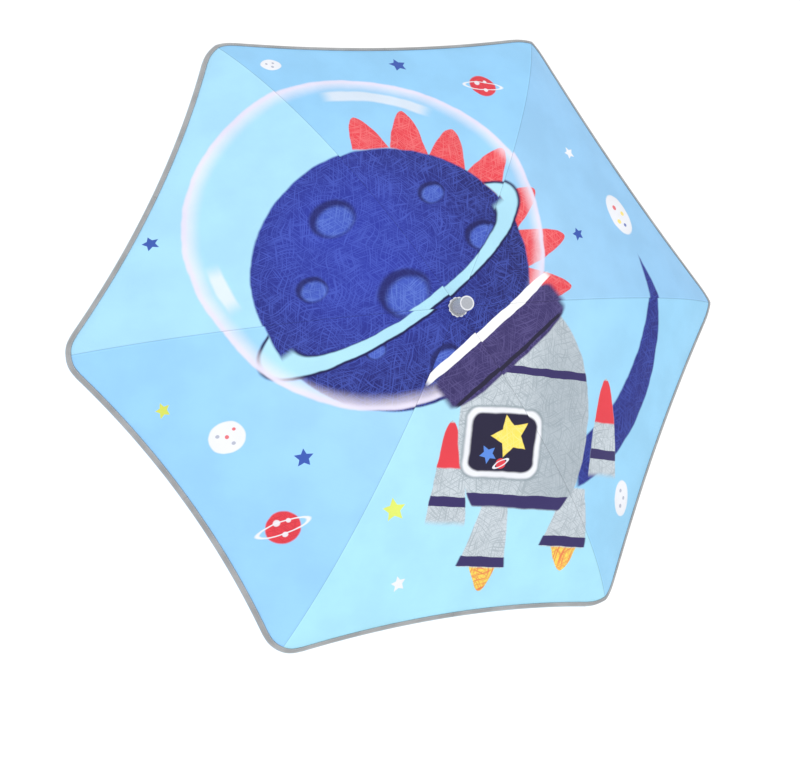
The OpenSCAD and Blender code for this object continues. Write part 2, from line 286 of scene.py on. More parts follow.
# The rolled cloth: each gore is one pleat, wound round the ribs in a spiral with these gaps.
WIND = 1.25 * MM            # how much the spiral widens, per radian
LAYER = WIND * GORE / 2
CROWDING = 0.13             # how much closer the rows of cloth lie just past the elbow
ELBOW_ROOM = 3.2 * MM       # how far closed rods and cloth bow out there, to clear the stretchers
HUB_CLAMP = 18 * MM         # the cloth up to this radius stays flat on the crown
HUB_TURN = 8 * MM           # and over this much more it turns down


def closed_rib_line(level):
    """Radius and height of rib 1's line when closed, with the rod pulled straight."""
    level = np.asarray(level, float)
    on_rib = np.stack([level, 0 * level, PIVOT.z - rib_fall(np.minimum(level, ELBOW.x))], -1)
    rib = np.array(CLOSED_RIB[1])
    at = on_rib @ rib[:3, :3].T + rib[:3, 3]
    tip = CLOSED_ROD[1] @ Vector((REACH, 0, PIVOT.z - float(rib_fall(REACH))))
    elbow = CLOSED_RIB[1] @ ELBOW
    share = np.clip((level - ELBOW.x) / (REACH - ELBOW.x), 0, None)
    past = level > ELBOW.x
    run = share - CROWDING * share * (1 - share)
    x = np.where(past, elbow.x + (tip.x - elbow.x) * run, at[..., 0])
    z = np.where(past, elbow.z + (tip.z - elbow.z) * run, at[..., 2])
    below = elbow.z - z
    return x + ELBOW_ROOM * np.exp(-((below - 15 * MM) / (45 * MM)) ** 2), z


def smooth(x):
    x = np.clip(x, 0, 1)
    return x * x * (3 - 2 * x)


def rolled(k, level, along, lift):
    """Where cloth goes when closed.

    along is its distance from rib k, below 0 towards the rib before, and lift its height over the
    cloth's middle. The half past the rib winds outwards. The half before it lies over that one as
    far as the crest, and folds back there onto the spiral that starts at the rib before.
    """
    radius, z = closed_rib_line(level)
    base = radius + CLOTH_LIFT
    width = level
    b = 2 * base + LAYER + WIND * GORE
    c = base * GORE + WIND * GORE**2 / 2 - width
    crest = np.clip((-b + np.sqrt(np.maximum(b * b - 4 * WIND * c, 0))) / (2 * WIND), 0, None)
    back = (base + LAYER) * crest + WIND * crest**2 / 2
    out = np.abs(along)

    def wound(length, radius0):
        return (-radius0 + np.sqrt(radius0**2 + 2 * WIND * length)) / WIND

    u_out = wound(out, base)
    u_back = wound(np.minimum(out, back), base + LAYER)
    u_far = wound(np.maximum(width - out, 0), base) - GORE
    past = smooth((out - back) / (6 * MM) + 0.5)
    r_back = base + WIND * u_back + LAYER * smooth(out / (8 * MM))
    r_far = base + WIND * (u_far + GORE)
    u_left = np.where(out <= back, u_back, u_far)
    r_left = np.where(past > 0, r_back * (1 - past) + r_far * past, r_back)
    narrow = width < base * GORE
    spread = np.where(narrow, out / np.maximum(width, 1e-6) * GORE, 0)
    left = along < 0
    u = np.where(left, u_left, u_out)
    r = np.where(left, r_left, base + WIND * u_out)
    u = np.where(narrow, np.sign(along) * spread, u)
    r = np.where(narrow, base, r) + 0.4 * lift
    free = smooth((level - HUB_CLAMP) / HUB_TURN)
    r = r * free + level * (1 - free)
    z = z * free + (CLOTH_TOP - rib_fall(level) + lift) * (1 - free)
    angle = rib_angle(k) + u
    return np.stack([r * np.cos(angle), r * np.sin(angle), z], -1)


def fold_group(name, body):
    """A modifier's node tree: it moves points by fold_shift, in the share that a rib has turned."""
    tree = bpy.data.node_groups.new(name, "GeometryNodeTree")
    tree.interface.new_socket("Geometry", in_out="INPUT", socket_type="NodeSocketGeometry")
    tree.interface.new_socket("Geometry", in_out="OUTPUT", socket_type="NodeSocketGeometry")
    n, link = tree.nodes, tree.links.new
    start, end = n.new("NodeGroupInput"), n.new("NodeGroupOutput")
    info = n.new("GeometryNodeObjectInfo")
    info.inputs["Object"].default_value = frame["bodies"][body]
    turn = n.new("FunctionNodeRotationToAxisAngle")
    share = n.new("ShaderNodeMapRange")
    share.inputs["From Max"].default_value = FOLD
    shift = n.new("GeometryNodeInputNamedAttribute")
    shift.data_type = "FLOAT_VECTOR"
    shift.inputs["Name"].default_value = "fold_shift"
    scaled = n.new("ShaderNodeVectorMath")
    scaled.operation = "SCALE"
    move = n.new("GeometryNodeSetPosition")
    link(info.outputs["Rotation"], turn.inputs["Rotation"])
    link(turn.outputs["Angle"], share.inputs["Value"])
    link(shift.outputs["Attribute"], scaled.inputs[0])
    link(share.outputs["Result"], scaled.inputs["Scale"])
    link(start.outputs[0], move.inputs["Geometry"])
    link(scaled.outputs["Vector"], move.inputs["Offset"])
    link(move.outputs["Geometry"], end.inputs[0])
    return tree


FOLD_TREES = {k: fold_group(f"fold_{k}", f"rib_{k}") for k in RIBS}


def fold_shift(obj, k, shifts):
    """obj's points move by shifts, one each, in its own space, as rib k folds."""
    store = obj.data.attributes.new("fold_shift", "FLOAT_VECTOR", "POINT")
    store.data.foreach_set("vector", np.asarray(shifts, np.float32).ravel())
    obj.modifiers.new("fold", "NODES").node_group = FOLD_TREES[k]


def points_of(obj):
    co = np.zeros(len(obj.data.vertices) * 3)
    obj.data.vertices.foreach_get("co", co)
    return co.reshape(-1, 3)


def moved_points(matrix, points):
    m = np.array(matrix)
    return points @ m[:3, :3].T + m[:3, 3]


# ---- Meshes ----


def face_outward(mesh, merge):
    """Every face of a closed mesh looks out. With merge, rings that end in a point close there."""
    work = bmesh.new()
    work.from_mesh(mesh)
    if merge:
        bmesh.ops.remove_doubles(work, verts=work.verts, dist=0.001 * MM)
        bmesh.ops.holes_fill(work, edges=[e for e in work.edges if e.is_boundary])
    bmesh.ops.recalc_face_normals(work, faces=work.faces)
    work.to_mesh(mesh)
    work.free()


def mesh_object(name, points, faces, uvs=None, solid=True, merge=False):
    """A mesh in the scene: solid ones are closed and shaded smooth. uvs has a value for each face corner."""
    mesh = bpy.data.meshes.new(name)
    mesh.from_pydata([tuple(p) for p in points], [], faces)
    mesh.update()
    for layer, corners in (uvs or {}).items():
        uv = mesh.uv_layers.new(name=layer)
        uv.data.foreach_set("uv", np.asarray(corners, np.float32).ravel())
    if solid:
        mesh.polygons.foreach_set("use_smooth", [True] * len(mesh.polygons))
        face_outward(mesh, merge)
    obj = bpy.data.objects.new(name, mesh)
    bpy.context.scene.collection.objects.link(obj)
    return obj


def grid_faces(rows, cols, wrap=False):
    last = cols if wrap else cols - 1
    return [(i * cols + j, (i + 1) * cols + j, (i + 1) * cols + (j + 1) % cols, i * cols + (j + 1) % cols)
            for i in range(rows - 1) for j in range(last)]


def around(sides):
    """The angles of a ring of points."""
    return [2 * math.pi * j / sides for j in range(sides)]


def lathe(name, profile, turns=96):
    """A closed solid of revolution about Z. profile is (radius, z) from the axis round to the axis."""
    points = [(r * math.cos(a), r * math.sin(a), z) for r, z in profile for a in around(turns)]
    faces = [f[::-1] for f in grid_faces(len(profile), turns, wrap=True)]
    return mesh_object(name, points, faces, merge=True)


def sweep(name, path, radii, straight_until, sides=56):
    """A tube along a path in the XZ plane.

    The first rings, before straight_until, all face down the shaft, so that they may share one place.
    """
    path = np.asarray(path, float)
    along = np.gradient(path, axis=0)
    along[:straight_until - 1] = (0, 0, -1)
    along /= np.linalg.norm(along, axis=1)[:, None]
    across = np.array([0, 1, 0])
    points = []
    for p, t, r in zip(path, along, radii):
        up = np.cross(t, across)
        points += [p + r * (math.cos(a) * up + math.sin(a) * across) for a in around(sides)]
    return mesh_object(name, points, grid_faces(len(path), sides, wrap=True), merge=True)


def fillet(points, radii, steps=6):
    """A profile with its corners rounded: each point of the list gets an arc of its own radius."""
    out = []
    for i, (p, r) in enumerate(zip(points, radii)):
        p = np.array(p, float)
        if r <= 0 or i in (0, len(points) - 1):
            out.append(tuple(p))
            continue
        a = np.array(points[i - 1], float) - p
        b = np.array(points[i + 1], float) - p
        cut_a = p + a / np.linalg.norm(a) * r
        cut_b = p + b / np.linalg.norm(b) * r
        out += [tuple((1 - t) ** 2 * cut_a + 2 * t * (1 - t) * p + t * t * cut_b)
                for t in np.linspace(0, 1, steps)]
    return out


# ---- Shader helpers ----


class Tree:
    """Adds nodes to one material. Inputs are sockets, numbers, vectors or colours."""

    def __init__(self, name):
        self.material = bpy.data.materials.new(name)
        self.material.use_nodes = True
        self.tree = self.material.node_tree
        self.shader = self.tree.nodes["Principled BSDF"]

    def node(self, kind, inputs=(), out=0, **properties):
        node = self.tree.nodes.new(kind)
        for key, value in properties.items():
            setattr(node, key, value)
        for key, value in dict(inputs).items():
            self.put(node.inputs[key], value)
        return node.outputs[out]

    def put(self, socket, value):
        if isinstance(value, bpy.types.NodeSocket):
            self.tree.links.new(value, socket)
        elif socket.type == "RGBA" and len(value) == 3:
            socket.default_value = (*value, 1)
        else:
            socket.default_value = value

    def set(self, **values):
        for key, value in values.items():
            self.put(self.shader.inputs[key.replace("_", " ")], value)
        return self.material

    def math(self, op, a, b=0.0, c=0.0, clamp=False):
        return self.node("ShaderNodeMath", {0: a, 1: b, 2: c}, operation=op, use_clamp=clamp)

    def vec(self, op, a, b=(0, 0, 0), out=0):
        return self.node("ShaderNodeVectorMath", {0: a, 1: b}, out=out, operation=op)

    def mix(self, share, a, b, how="MIX"):
        return self.node("ShaderNodeMix", {0: share, 6: a, 7: b}, out=2, data_type="RGBA", blend_type=how)

    def ramp(self, value, low, high, to=(0.0, 1.0), kind="SMOOTHSTEP"):
        return self.node("ShaderNodeMapRange", {0: value, 1: low, 2: high, 3: to[0], 4: to[1]},
                         interpolation_type=kind)

    def noise(self, at, scale, detail=2.0, rough=0.5):
        return self.node("ShaderNodeTexNoise", {"Vector": at, "Scale": scale, "Detail": detail,
                                                "Roughness": rough})

    def place(self, at, centre, size, angle=0.0):
        """x and y in a shape's own frame, where its size is 1."""
        away = self.vec("SUBTRACT", at, (*centre, 0))
        c, s = math.cos(angle), math.sin(angle)
        return (self.vec("DOT_PRODUCT", away, (c / size[0], s / size[0], 0), out=1),
                self.vec("DOT_PRODUCT", away, (-s / size[1], c / size[1], 0), out=1))

    def length(self, spot):
        x, y = spot
        return self.math("SQRT", self.math("MULTIPLY_ADD", x, x, self.math("MULTIPLY", y, y)))

    def bump(self, height, distance, strength=1.0, normal=None):
        inputs = {"Height": height, "Distance": distance, "Strength": strength}
        if normal is not None:
            inputs["Normal"] = normal
        return self.node("ShaderNodeBump", inputs)

    def object_at(self):
        return self.node("ShaderNodeTexCoord", out=3)

    def uv(self, name):
        return self.node("ShaderNodeUVMap", uv_map=name)


def srgb(r, g, b):
    """A colour as it is seen, 0 to 255, in the renderer's linear numbers."""
    return tuple((c / 255 / 12.92) if c / 255 <= 0.04045 else ((c / 255 + 0.055) / 1.055) ** 2.4
                 for c in (r, g, b))


# ---- The print ----

CRAYON_LIGHT = srgb(84, 106, 212)
CRAYON_DARK = srgb(24, 20, 78)
NIGHT = srgb(38, 32, 58)
PURPLE = srgb(56, 46, 100)
GREY = srgb(204, 213, 220)
GREY_DARK = srgb(136, 150, 158)
RED = srgb(230, 66, 76)
YELLOW = srgb(250, 224, 92)
STAR_BLUE = srgb(58, 88, 176)
PALE = srgb(238, 240, 246)
PINK = srgb(246, 238, 250)


class Print(Tree):
    """A space picture painted layer by layer on the canopy, in plan, where a corner is 1 from the axis."""

    def start(self):
        self.plan = self.uv("plan")
        wobble = self.node("ShaderNodeTexNoise", {"Vector": self.plan, "Scale": 16.0, "Detail": 2.0}, out=1)
        wave = self.vec("MULTIPLY", wobble, (0.010, 0.010, 0))
        self.at = self.vec("ADD", self.vec("SUBTRACT", self.plan, (0.005, 0.005, 0)), wave)
        self.streaks = self.scribble()
        # The gore's blue, with that gore's painted light.
        lit_blue = self.node("ShaderNodeAttribute", attribute_name="lit_blue")
        # Painted light: the cloth is paler towards the crown, where it faces up into the light.
        near = self.ramp(self.length(self.place(self.plan, (0, 0), (1, 1))), 0.85, 0.15)
        self.colour = self.mix(self.math("MULTIPLY", near, 0.35), lit_blue, srgb(182, 226, 250))

    def scribble(self):
        """Curling streaks of crayon in three directions, from 0 to 1."""
        curl = self.node("ShaderNodeTexNoise", {"Vector": self.plan, "Scale": 9.0, "Detail": 1.0}, out=1)
        bent = self.vec("ADD", self.plan, self.vec("MULTIPLY", curl, (0.055, 0.055, 0)))
        lines = None
        for angle, size in ((0.3, (1 / 15, 1 / 330)), (1.35, (1 / 13, 1 / 290)), (2.4, (1 / 17, 1 / 360))):
            x, y = self.place(bent, (angle, angle), size, angle)
            at = self.node("ShaderNodeCombineXYZ", {0: x, 1: y})
            one = self.ramp(self.noise(at, 1.0, 2.0), 0.50, 0.66)
            lines = one if lines is None else self.math("MAXIMUM", lines, one)
        return lines

    def paint(self, mask, colour, share=1.0):
        if share != 1.0:
            mask = self.math("MULTIPLY", mask, share)
        self.colour = self.mix(mask, self.colour, colour)

    def crayon(self, base, light, amount=0.5):
        return self.mix(self.math("MULTIPLY", self.streaks, amount), base, light)

    def ellipse(self, centre, size, angle=0.0, soft=0.03):
        return self.ramp(self.length(self.place(self.at, centre, size, angle)), 1 + soft, 1 - soft)

    def ring(self, centre, size, inner, angle=0.0, soft=0.03):
        r = self.length(self.place(self.at, centre, size, angle))
        return self.math("MULTIPLY", self.ramp(r, 1 + soft, 1 - soft),
                         self.ramp(r, inner - soft, inner + soft))

    def star(self, centre, size, angle=0.0, points=5, waist=0.5):
        x, y = self.place(self.at, centre, (size, size), angle)
        turn = self.math("PINGPONG", self.math("ARCTAN2", x, y), math.pi / points)
        rise = (1 - waist * math.cos(math.pi / points)) / (waist * math.sin(math.pi / points))
        side = self.math("MULTIPLY_ADD", self.math("SINE", turn), rise, self.math("COSINE", turn))
        return self.ramp(self.math("MULTIPLY", self.length((x, y)), side), 1.05, 0.95)

    def fin(self, centre, size, angle):
        """A leaf-shaped point, wide at its foot and pointing along +y of its own frame."""
        x, y = self.place(self.at, centre, size, angle)
        width = self.math("SQRT", self.math("SUBTRACT", 1.0, y, clamp=True))
        side = self.math("SUBTRACT", width, self.math("ABSOLUTE", self.math("MULTIPLY_ADD", y, 0.35, x)))
        return self.math("MULTIPLY", self.ramp(side, 0.0, 0.07), self.ramp(y, -0.05, 0.03))

    def box(self, centre, size, angle=0.0, corner=0.3, soft=0.05):
        """A rounded rectangle: corner is the rounding's share of the shape."""
        x, y = (self.math("MAXIMUM", self.math("SUBTRACT", self.math("ABSOLUTE", v), 1 - corner), 0.0)
                for v in self.place(self.at, centre, size, angle))
        return self.ramp(self.length((x, y)), corner + soft, corner - soft)

    def bell(self, centre, size, angle=0.0, top=0.6):
        """A nozzle: as wide as its size at the foot, and narrower at the top."""
        x, y = self.place(self.at, centre, size, angle)
        width = self.math("MULTIPLY_ADD", y, (top - 1) / 2, (top + 1) / 2)
        side = self.math("SUBTRACT", width, self.math("ABSOLUTE", x))
        return self.math("MULTIPLY", self.ramp(side, -0.03, 0.05),
                         self.ramp(self.math("ABSOLUTE", y), 1.04, 0.96))

    def both(self, a, b):
        return self.math("MULTIPLY", a, b)

    def without(self, a, b):
        return self.math("MULTIPLY", a, self.math("SUBTRACT", 1.0, b, clamp=True))


BUBBLE = (-0.19, 0.228)
BUBBLE_SIZE = (0.487, 0.478)
PLANET = (-0.150, 0.105)
PLANET_R = 0.372


def paint_crescent(p):
    moon = p.without(p.ellipse((0.223, -0.058), (0.471, 0.471), 0.0, 0.008),
                     p.ellipse((0.133, 0.086), (0.523, 0.523), 0.0, 0.008))
    right = p.ramp(p.node("ShaderNodeSeparateXYZ", {0: p.at}), 0.33, 0.35)
    p.paint(p.both(moon, right), p.crayon(srgb(32, 36, 122), srgb(70, 92, 192), 0.5))


def paint_flames(p):
    """Red flames round the right side of the planet, like a sun's."""
    for i in range(9):
        turn = math.radians(92 - 17 * i)
        foot = (PLANET[0] + PLANET_R * math.cos(turn), PLANET[1] + 0.98 * PLANET_R * math.sin(turn))
        height = 0.105 + 0.022 * (i % 2) + 0.006 * i
        p.paint(p.fin(foot, (0.056, height), turn - math.pi / 2), p.crayon(RED, srgb(250, 150, 150), 0.45))


def paint_planet(p):
    body = p.ellipse(PLANET, (PLANET_R * 1.03, PLANET_R * 0.97), 0.35, 0.01)
    depth = p.length(p.place(p.at, (PLANET[0] - 0.10, PLANET[1] + 0.08), (0.5, 0.5)))
    shade = p.mix(p.ramp(depth, 0.1, 1.0), srgb(44, 56, 164), srgb(26, 22, 88))
    p.paint(body, p.mix(p.math("MULTIPLY", p.streaks, 0.5), shade, CRAYON_LIGHT))
    for x, y, r in ((-0.30, 0.27, 0.062), (-0.02, 0.33, 0.040), (-0.14, 0.05, 0.075), (0.10, 0.20, 0.050),
                    (-0.38, 0.08, 0.042), (-0.05, -0.14, 0.052), (-0.24, -0.09, 0.030)):
        p.paint(p.both(body, p.ellipse((x, y), (r, r * 0.82), 0.4, 0.12)), CRAYON_DARK, 0.75)
        p.paint(p.both(body, p.ellipse((x + r * 0.10, y - r * 0.12), (r * 0.80, r * 0.62), 0.4, 0.2)),
                p.crayon(srgb(64, 88, 192), srgb(116, 146, 232)), 0.9)
    front = p.ramp(p.place(p.at, PLANET, (1, 1), 0.52)[1], 0.012, -0.012)
    for size, inner, colour in (((0.445, 0.135), 0.76, CRAYON_DARK),
                                ((0.435, 0.128), 0.80, srgb(176, 226, 246))):
        band = p.ring(PLANET, size, inner, 0.52, 0.015)
        p.paint(p.math("MAXIMUM", p.both(band, front), p.without(band, body)), colour)


def paint_rocket(p):
    """A rocket that flies up, with two boosters and two nozzles, all in grey pencil."""
    grey = p.crayon(GREY, GREY_DARK, 0.55)
    lean = -0.16
    for x, y in ((0.072, -0.625), (0.318, -0.60)):
        p.paint(p.fin((x - 0.008, y - 0.075), (0.045, 0.075), lean + math.pi), p.crayon(YELLOW, RED, 0.8))
        p.paint(p.bell((x, y), (0.072, 0.085), lean, 0.55), grey)
        p.paint(p.bell((x - 0.012, y - 0.068), (0.076, 0.014), lean, 0.9), PURPLE)
    for x, y in ((-0.060, -0.57), (0.445, -0.49)):
        booster = p.fin((x, y), (0.062, 0.27), lean)
        p.paint(booster, grey)
        p.paint(p.both(booster, p.box((x + 0.010, y + 0.055), (0.10, 0.014), lean)), PURPLE)
        p.paint(p.both(booster, p.box((x + 0.040, y + 0.200), (0.10, 0.060), lean)), RED)
    hull = p.ellipse((0.185, -0.315), (0.205, 0.320), lean, 0.012)
    cut = p.ramp(p.place(p.at, (0.14, -0.555), (1, 1), lean)[1], -0.004, 0.004)
    p.paint(p.both(hull, cut), grey)
    dark = p.ellipse((0.300, -0.36), (0.12, 0.30), lean, 0.6)
    p.paint(p.both(p.both(hull, cut), dark), srgb(140, 154, 164), 0.45)
    for y, w in ((-0.540, 0.020), (-0.185, 0.011)):
        p.paint(p.both(p.both(hull, cut), p.box((0.185 + 0.16 * (y + 0.3), y), (0.3, w), lean, 0.5)), PURPLE)


def paint_collar(p):
    """The band that joins the bubble to the rocket."""
    turn = 0.60
    p.paint(p.box((0.125, -0.112), (0.225, 0.060), turn, 0.5), p.crayon(PURPLE, srgb(108, 98, 156), 0.45))
    p.paint(p.box((0.145, -0.150), (0.205, 0.006), turn, 0.4), NIGHT)
    p.paint(p.box((0.090, -0.060), (0.238, 0.0135), turn, 0.5), srgb(250, 250, 252))


def paint_window(p):
    spot, tilt = (0.105, -0.375), -0.14
    p.paint(p.box(spot, (0.116, 0.098), tilt, 0.35), GREY_DARK)
    p.paint(p.box(spot, (0.111, 0.093), tilt, 0.35), PALE)
    p.paint(p.box(spot, (0.096, 0.078), tilt, 0.35), NIGHT)
    p.paint(p.star((0.128, -0.360), 0.058, 0.2, waist=0.52), p.crayon(YELLOW, srgb(255, 240, 160)))
    p.paint(p.star((0.060, -0.402), 0.026, 0.4), srgb(92, 140, 226))
    p.paint(p.ellipse((0.098, -0.430), (0.015, 0.015)), RED)
    p.paint(p.ring((0.098, -0.430), (0.027, 0.009), 0.7, 0.4), PALE)


def paint_bubble(p):
    r = p.length(p.place(p.at, BUBBLE, BUBBLE_SIZE))
    skin = p.both(p.ramp(r, 1.004, 0.992), p.ramp(r, 0.90, 0.985))
    rim = p.both(p.ramp(r, 1.012, 0.998), p.ramp(r, 0.965, 0.992))
    p.paint(skin, PINK, 0.62)
    p.paint(rim, srgb(232, 226, 246), 0.85)
    arc = p.both(p.ramp(r, 0.925, 0.905), p.ramp(r, 0.835, 0.855))
    for middle, half in ((78, 23), (196, 11)):
        side, up = p.place(p.at, BUBBLE, (1, 1), math.radians(middle))
        turn = p.math("ABSOLUTE", p.math("ARCTAN2", up, side))
        p.paint(p.both(arc, p.ramp(turn, math.radians(half), math.radians(half - 7))), PALE, 0.72)


def paint_ringed_planet(p, centre, size, tilt):
    p.paint(p.ellipse(centre, (size, size), 0, 0.06), p.crayon(RED, srgb(208, 52, 66), 0.8))
    for dx, dy, r in ((-0.35, 0.30, 0.20), (0.30, 0.42, 0.14), (0.10, -0.45, 0.16)):
        spot = (centre[0] + dx * size, centre[1] + dy * size)
        p.paint(p.ellipse(spot, (r * size, r * size), 0, 0.2), PALE, 0.9)
    p.paint(p.ring(centre, (size * 1.6, size * 0.42), 0.84, tilt, 0.05), PALE)


def paint_moon(p, centre, size, tilt=0.0, dots=()):
    p.paint(p.ellipse(centre, size, tilt, 0.05), PALE)
    for dx, dy, r, colour in dots:
        p.paint(p.ellipse((centre[0] + dx * size[0], centre[1] + dy * size[1]),
                          (r * size[0], r * size[0]), 0, 0.15), colour, 0.85)


def paint_sky(p):
    for x, y, r, turn, colour in (
            (0.013, 0.766, 0.026, 0.1, STAR_BLUE), (0.424, 0.191, 0.020, 0.3, STAR_BLUE),
            (-0.750, 0.276, 0.022, 0.2, STAR_BLUE), (-0.440, -0.348, 0.025, 0.0, STAR_BLUE),
            (0.476, 0.453, 0.021, 0.4, PALE), (-0.182, -0.723, 0.022, 0.2, PALE),
            (-0.774, -0.178, 0.020, 0.3, srgb(214, 222, 96)),
            (-0.208, -0.519, 0.034, 0.1, srgb(226, 238, 110))):
        p.paint(p.star((x, y), r, turn), colour)
    paint_ringed_planet(p, (0.241, 0.674), 0.038, -0.15)
    paint_ringed_planet(p, (-0.496, -0.525), 0.044, 0.25)
    ash = srgb(170, 176, 196)
    paint_moon(p, (-0.366, 0.775), (0.030, 0.022), 0.0,
               ((-0.4, 0.2, 0.13, ash), (0.3, 0.3, 0.12, ash), (0.1, -0.4, 0.14, ash)))
    paint_moon(p, (-0.623, -0.271), (0.044, 0.042), 0.0,
               ((0.0, 0.0, 0.12, RED), (-0.5, 0.1, 0.11, ash), (0.4, 0.45, 0.10, RED),
                (0.35, -0.4, 0.11, ash)))
    paint_moon(p, (0.625, 0.263), (0.045, 0.066), 0.35,
               ((-0.3, 0.35, 0.17, RED), (0.35, 0.1, 0.16, YELLOW), (-0.2, -0.35, 0.17, YELLOW),
                (0.3, -0.5, 0.13, STAR_BLUE)))
    paint_moon(p, (0.541, -0.566), (0.034, 0.052), 0.1,
               ((-0.2, 0.4, 0.16, ash), (0.3, 0.0, 0.15, ash), (-0.1, -0.4, 0.17, ash)))


def cloth_material(name):
    """The printed cloth: its picture, the seam along each rib, the weave, and a paler inside."""
    p = Print(name)
    p.start()
    paint_crescent(p)
    paint_flames(p)
    paint_rocket(p)
    paint_planet(p)
    paint_bubble(p)
    paint_collar(p)
    paint_window(p)
    paint_sky(p)
    cloth = p.uv("cloth")
    across = p.node("ShaderNodeSeparateXYZ", {0: cloth})
    away = p.math("ABSOLUTE", across)
    seam = p.ramp(away, 0.9 * MM, 0.2 * MM)
    ridge = p.ramp(away, 3.2 * MM, 1.2 * MM)
    mottle = p.ramp(p.noise(p.plan, 7.0, 3.0), 0.3, 0.7, (0.955, 1.035))
    colour = p.mix(1.0, p.colour, mottle, "MULTIPLY")
    # Painted highlight: fold is a faint lighter strip beside the seam, where the seam allowance beneath lifts the
    # cloth into the light.
    fold = p.ramp(p.math("ABSOLUTE", p.math("SUBTRACT", across, 1.5 * MM)), 1.3 * MM, 0.4 * MM)
    tone = p.math("SUBTRACT", p.math("MULTIPLY_ADD", fold, 0.06, 1.0), p.math("MULTIPLY", seam, 0.22))
    colour = p.mix(1.0, colour, tone, "MULTIPLY")
    threads = p.node("ShaderNodeMapping", {"Vector": cloth, "Scale": (1 / (0.9 * MM), 1 / (0.9 * MM), 1)})
    weave = p.node("ShaderNodeTexChecker", {"Vector": threads, "Scale": 1.0}, out=1)
    colour = p.mix(p.math("MULTIPLY", weave, 0.035), colour, srgb(70, 110, 150))
    colour = p.mix(p.math("MULTIPLY", p.node("ShaderNodeAttribute", out=2, attribute_name="inside"), 0.45),
                   colour, srgb(205, 222, 234))
    ripple = p.noise(p.plan, 19.0, 2.0)
    normal = p.bump(ripple, 1.2 * MM, 0.5)
    normal = p.bump(weave, 0.06 * MM, 0.5, normal)
    normal = p.bump(p.math("SUBTRACT", ridge, p.math("MULTIPLY", seam, 1.2)), 0.35 * MM, 0.5, normal)
    return p.set(Base_Color=colour, Roughness=0.68, Normal=normal, Sheen_Weight=0.03, Sheen_Roughness=0.5,
                 Specular_IOR_Level=0.22)


# ---- Plain materials ----


def plastic(name, colour, rough=0.4, grain=900.0, depth=0.03, lip=None):
    """Moulded plastic with a fine grain. Above the height lip it takes a painted highlight, pale as a rim catching the
    light.
    """
    t = Tree(name)
    at = t.object_at()
    tone = t.ramp(t.noise(at, 35.0, 3.0), 0.3, 0.7, (0.96, 1.03))
    wear = t.ramp(t.noise(at, 160.0, 4.0, 0.7), 0.64, 0.76, (0.0, 0.05))
    shown = t.mix(wear, t.mix(1.0, colour, tone, "MULTIPLY"), tuple(min(1, c * 1.6 + 0.05) for c in colour))
    # Painted highlight: above lip the plastic is painted pale, as the cap's rim catches the light.
    if lip:
        height = t.node("ShaderNodeSeparateXYZ", {0: at}).node.outputs[2]
        shown = t.mix(t.ramp(height, lip - 0.4 * MM, lip - 0.2 * MM), shown, srgb(222, 224, 230))
    gloss = t.ramp(t.noise(at, 70.0, 3.0), 0.3, 0.7, (rough - 0.06, rough + 0.08))
    return t.set(Base_Color=shown, Roughness=gloss, Normal=t.bump(t.noise(at, grain, 2.0), depth * MM, 0.35),
                 Coat_Weight=0.08, Coat_Roughness=0.3)


def steel(name, colour, rough, stretch=(1, 1, 0.05), lines=2600.0):
    t = Tree(name)
    at = t.node("ShaderNodeMapping", {"Vector": t.object_at(), "Scale": stretch})
    drawn = t.noise(at, lines, 3.0, 0.6)
    stain = t.ramp(t.noise(t.object_at(), 28.0, 4.0, 0.65), 0.35, 0.75, (1.0, 0.84))
    return t.set(Base_Color=t.mix(1.0, colour, stain, "MULTIPLY"), Metallic=1.0,
                 Roughness=t.ramp(drawn, 0.3, 0.7, (rough - 0.07, rough + 0.1)),
                 Normal=t.bump(drawn, 0.02 * MM, 0.5))


def fibreglass():
    t = Tree("fibreglass")
    at = t.object_at()
    fibres = t.noise(at, 1800.0, 3.0, 0.7)
    tone = t.mix(t.ramp(fibres, 0.35, 0.7), srgb(40, 42, 46), srgb(72, 75, 80))
    return t.set(Base_Color=tone, Roughness=0.38, Normal=t.bump(fibres, 0.03 * MM, 0.4), Coat_Weight=0.2,
                 Coat_Roughness=0.25)


STITCHES_IN = 4.7 * MM      # from the binding's outer edge to its line of stitches


def binding_material():
    """Woven grey tape: fine ribs across it, and a line of stitches near its inner edge."""
    t = Tree("binding_tape")
    tape = t.uv("cloth")
    x = t.node("ShaderNodeSeparateXYZ", {0: tape})
    y = x.node.outputs[1]
    ribs = t.math("PINGPONG", t.math("MULTIPLY", x, 1 / (0.8 * MM)), 0.5)
    rows = t.math("PINGPONG", t.math("MULTIPLY", y, 1 / (0.7 * MM)), 0.5)
    weave = t.math("MULTIPLY", t.ramp(ribs, 0, 0.5), t.ramp(rows, 0, 0.5))
    dash = t.ramp(t.math("PINGPONG", t.math("MULTIPLY", x, 1 / (3.2 * MM)), 0.5), 0.12, 0.18)
    line = t.ramp(t.math("ABSOLUTE", t.math("SUBTRACT", y, STITCHES_IN)), 0.5 * MM, 0.28 * MM)
    stitch = t.math("MULTIPLY", dash, line)
    tone = t.mix(t.ramp(t.noise(t.object_at(), 40.0, 3.0), 0.3, 0.7), srgb(146, 148, 150), srgb(164, 166, 168))
    tone = t.mix(t.math("MULTIPLY", weave, 0.22), tone, srgb(112, 114, 118))
    tone = t.mix(t.math("MULTIPLY", stitch, 0.5), tone, srgb(196, 198, 200))
    normal = t.bump(weave, 0.12 * MM, 0.6)
    normal = t.bump(stitch, 0.25 * MM, 0.8, normal)
    return t.set(Base_Color=tone, Roughness=0.5, Normal=normal, Sheen_Weight=0.05, Specular_IOR_Level=0.5)


